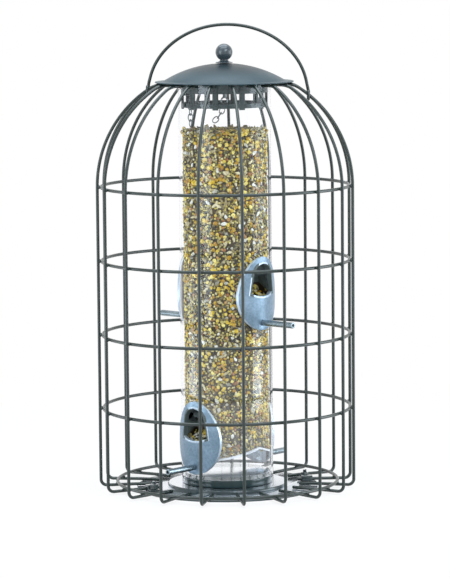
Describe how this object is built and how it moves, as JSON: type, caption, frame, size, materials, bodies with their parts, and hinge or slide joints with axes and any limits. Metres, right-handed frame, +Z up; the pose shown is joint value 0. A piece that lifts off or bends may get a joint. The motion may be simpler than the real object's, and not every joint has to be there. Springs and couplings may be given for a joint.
{
  "type": "caged seed bird feeder",
  "caption": "Caged tube feeder for bird seed: a round wire cage, a clear tube with cast feeding ports and perches, a lift-off domed lid and a hanging bail.",
  "frame": {"origin": "on the ground under the middle of the base plate", "axes": "+Z up along the tube, -Y to the front as pictured, +X to the right"},
  "size_m": [0.2156, 0.2155, 0.391],
  "materials": {
    "powder_coat": "smooth semi-gloss dark grey-green powder coat",
    "lid_paint": "semi-gloss blue-grey paint",
    "knob_paint": "glossy dark blue-grey paint",
    "plate_paint": "glossy dark grey-green paint",
    "green_plastic": "moulded dark green plastic",
    "clear_plastic": "clear moulded plastic",
    "cast_zinc": "satin light blue-grey zinc casting",
    "perch_metal": "satin grey metal",
    "chain_metal": "dull grey wire",
    "mixed_seed": "dry mixed bird seed"
  },
  "bodies": {
    "feeder": {"base_cap": "green_plastic", "base_plate": "plate_paint", "cage_foot_ring": "powder_coat", "cage_ring_1": "powder_coat", "cage_ring_2": "powder_coat", "cage_ring_3": "powder_coat", "cage_ring_4": "powder_coat", "cage_top_ring": "powder_coat", "cage_wire_01": "powder_coat", "cage_wire_02": "powder_coat", "cage_wire_03": "powder_coat", "cage_wire_04": "powder_coat", "cage_wire_05": "powder_coat", "cage_wire_06": "powder_coat", "cage_wire_07": "powder_coat", "cage_wire_08": "powder_coat", "cage_wire_09": "powder_coat", "cage_wire_10": "powder_coat", "cage_wire_11": "powder_coat", "cage_wire_12": "powder_coat", "cage_wire_13": "powder_coat", "cage_wire_14": "powder_coat", "cage_wire_15": "powder_coat", "cage_wire_16": "powder_coat", "cage_wire_17": "powder_coat", "cage_wire_18": "powder_coat", "cage_wire_19": "powder_coat", "clamp_nut_1": "powder_coat", "clamp_nut_2": "powder_coat", "clamp_saddle_1": "powder_coat", "clamp_saddle_2": "powder_coat", "perch_lower_back": "perch_metal", "perch_lower_front": "perch_metal", "perch_upper_back": "perch_metal", "perch_upper_front": "perch_metal", "port_lower_back": "cast_zinc", "port_lower_front": "cast_zinc", "port_upper_back": "cast_zinc", "port_upper_front": "cast_zinc", "seed_baffle": "clear_plastic", "seed_fill": "mixed_seed", "side_chain_link_1": "chain_metal", "side_chain_link_2": "chain_metal", "side_chain_link_3": "chain_metal", "side_chain_link_4": "chain_metal", "side_chain_link_5": "chain_metal", "tether_hook": "chain_metal", "tube": "clear_plastic"},
    "lid": {"lid_shell": "lid_paint", "lid_knob": "knob_paint", "lid_plug": "green_plastic", "eye_nut": "chain_metal", "lid_chain_link_1": "chain_metal", "lid_chain_link_2": "chain_metal", "lid_chain_link_3": "chain_metal", "lid_chain_link_4": "chain_metal"},
    "bail": {"bail": "powder_coat"}
  },
  "joints": [
    {"name": "bail_swing", "type": "hinge", "parent": "feeder", "child": "bail", "pos_m": [0.00302, -0.00567, 0.33349], "axis": [0.9985, -0.0425, -0.0357], "range_deg": [-60, 78]},
    {"name": "lid_lift", "type": "slide", "parent": "feeder", "child": "lid", "axis": [0, 0, 1], "range_m": [0, 0.003]}
  ]
}
